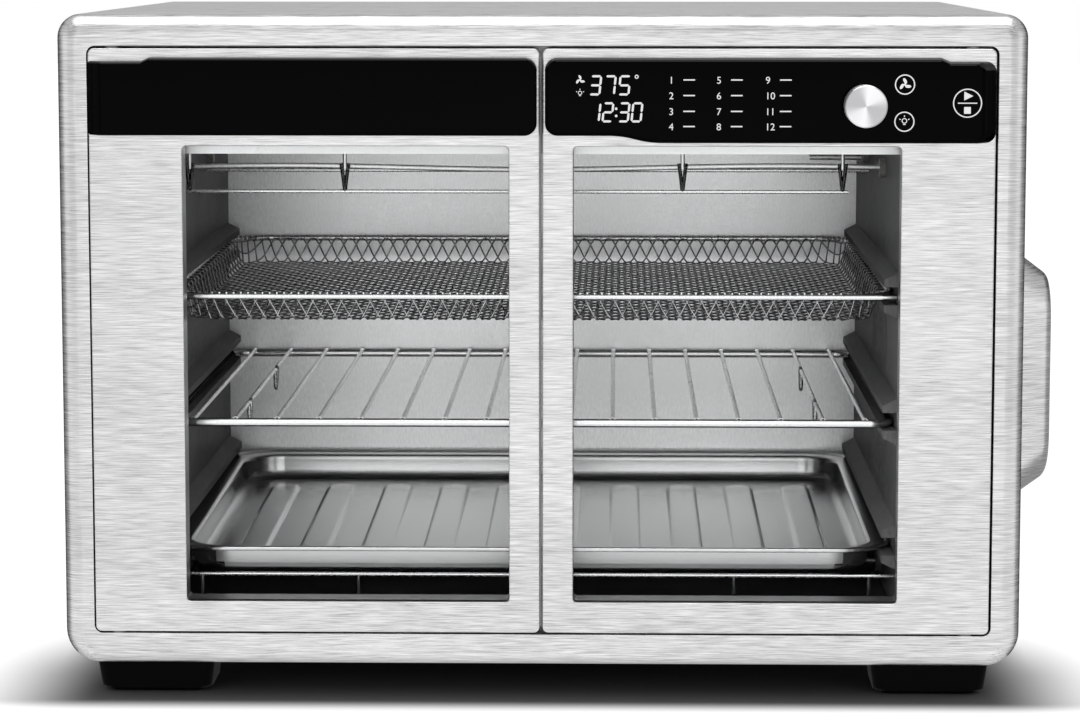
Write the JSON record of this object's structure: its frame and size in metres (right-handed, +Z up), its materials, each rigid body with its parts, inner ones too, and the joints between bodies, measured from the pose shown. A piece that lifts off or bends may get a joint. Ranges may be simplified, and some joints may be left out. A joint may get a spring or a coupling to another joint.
{
  "type": "toaster oven",
  "caption": "Countertop toaster oven with French doors, glass windows, black control panels, wire rack, air-fry basket, bake pan and a side fan cover.",
  "frame": {"origin": "on the table under the middle of the oven's overall box", "axes": "+Z up, doors face -Y, fan cover and controls at +X"},
  "size_m": [0.4876, 0.3944, 0.333],
  "materials": {
    "stainless": "brushed along the width, satin",
    "door_liner": "plain satin sheet",
    "zinc_sheet": "zinc plated sheet, dull",
    "cavity_sheet": "aluminised sheet, satin",
    "chrome_wire": "bright plated wire",
    "heater_tube": "bare steel sheath",
    "pan_steel": "grey nonstick coating, satin",
    "glass": "clear tempered pane",
    "black_gloss": "polished black moulding",
    "black_plastic": "fine moulded texture",
    "rubber": "matt",
    "nylon": "natural white moulding",
    "ceramic": "unglazed off-white",
    "spun_aluminium": "spun face, bright edge",
    "fan_aluminium": "plain stamped sheet",
    "board": "solder-masked board",
    "screw_steel": "zinc plated",
    "motor_steel": "plain rolled steel"
  },
  "bodies": {
    "root": {"front_frame": "stainless", "outer_wrap": "stainless", "motor_cover": "stainless", "base_plate": "zinc_sheet", "back_panel": "zinc_sheet", "cord_gland": "black_plastic", "back_screws": "screw_steel", "front_left_foot": "black_plastic", "front_right_foot": "black_plastic", "rear_left_foot": "black_plastic", "rear_right_foot": "black_plastic", "foot_pads": "rubber", "hinge_brackets": "zinc_sheet", "hinge_bushes": "nylon", "cavity_flange": "cavity_sheet", "flange_screws": "screw_steel", "door_catches": "black_plastic", "cavity_left_wall": "cavity_sheet", "cavity_right_wall": "cavity_sheet", "cavity_back_wall": "cavity_sheet", "cavity_ceiling": "cavity_sheet", "cavity_floor": "cavity_sheet", "top_heaters": "heater_tube", "bottom_heaters": "heater_tube", "heater_sleeves": "ceramic", "top_guards": "chrome_wire", "bottom_guards": "chrome_wire", "fan_drum": "zinc_sheet", "fan_motor": "motor_steel", "power_board": "board", "temperature_probe": "heater_tube", "basket_rim": "chrome_wire", "basket_net": "chrome_wire", "wire_rack": "chrome_wire", "bake_pan": "pan_steel", "crumb_tray": "cavity_sheet"},
    "left_door": {"left_door_skin": "stainless", "left_door_liner": "door_liner", "left_door_screws": "screw_steel", "left_door_glass": "glass", "left_glass_gasket": "rubber", "left_hinge_pivots": "zinc_sheet", "left_panel": "black_gloss"},
    "right_door": {"right_door_skin": "stainless", "right_door_liner": "door_liner", "right_door_screws": "screw_steel", "right_door_glass": "glass", "right_glass_gasket": "rubber", "right_hinge_pivots": "zinc_sheet", "right_panel": "black_gloss", "control_board": "board", "display_module": "black_plastic", "encoder": "zinc_sheet"},
    "knob": {"control_knob": "spun_aluminium", "encoder_shaft": "screw_steel"},
    "fan": {"convection_fan": "fan_aluminium", "fan_shaft": "screw_steel"}
  },
  "joints": [
    {"name": "left_door_hinge", "type": "hinge", "parent": "root", "child": "left_door", "pos_m": [-0.21705, -0.17275, 0.0337], "axis": [0, 0, -1], "range_deg": [0, 100]},
    {"name": "right_door_hinge", "type": "hinge", "parent": "root", "child": "right_door", "pos_m": [0.19455, -0.17275, 0.0337], "axis": [0, 0, 1], "range_deg": [0, 100]},
    {"name": "knob_turn", "type": "hinge", "parent": "right_door", "child": "knob", "pos_m": [0.14245, -0.18355, 0.2901], "axis": [0, -1, 0], "continuous": true},
    {"name": "fan_spin", "type": "hinge", "parent": "root", "child": "fan", "pos_m": [0.17875, -0.02675, 0.148], "axis": [1, 0, 0], "continuous": true}
  ]
}
